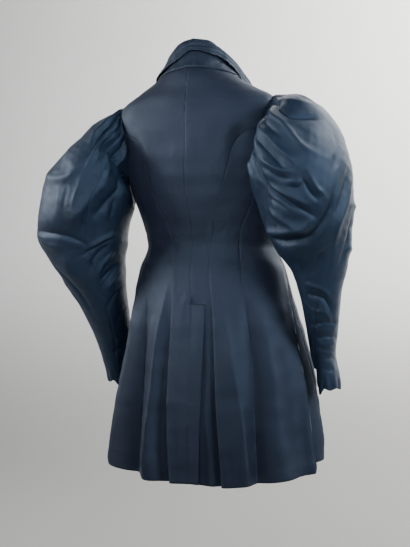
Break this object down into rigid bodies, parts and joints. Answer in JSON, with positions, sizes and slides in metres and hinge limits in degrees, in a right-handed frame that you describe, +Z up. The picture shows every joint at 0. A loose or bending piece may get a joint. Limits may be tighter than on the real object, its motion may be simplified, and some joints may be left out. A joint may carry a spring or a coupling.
{
  "type": "long jacket, worn form",
  "caption": "Dark long jacket with gathered leg-of-mutton sleeves, high turned collar, turned-back lapels and a pleated, vented skirt, held open in its worn form.",
  "frame": {"origin": "centre of the neck opening, level with the nape, where the wearer's neck and shoulders hold the jacket", "axes": "+Z up, -Y the front, +Y the back, -X the wearer's right"},
  "size_m": [0.709, 0.4052, 0.9159],
  "materials": {
    "body_cloth": "fine ribbed navy-black cloth with a soft sheen",
    "sleeve_cloth": "the same cloth, gathered and creased",
    "collar_cloth": "the same cloth, pressed",
    "button_cloth": "cloth-covered"
  },
  "bodies": {
    "root": {"back_left": "body_cloth", "back_right": "body_cloth", "side_back_left": "body_cloth", "side_back_right": "body_cloth", "underarm_left": "body_cloth", "underarm_right": "body_cloth", "front_left": "body_cloth", "front_right": "body_cloth", "sleeve_top_left": "sleeve_cloth", "sleeve_top_right": "sleeve_cloth", "sleeve_under_left": "sleeve_cloth", "sleeve_under_right": "sleeve_cloth", "collar_stand": "collar_cloth", "collar_fall": "collar_cloth", "lapel_left": "collar_cloth", "lapel_right": "collar_cloth", "button_1": "button_cloth", "button_2": "button_cloth", "button_3": "button_cloth", "button_4": "button_cloth"}
  },
  "joints": []
}
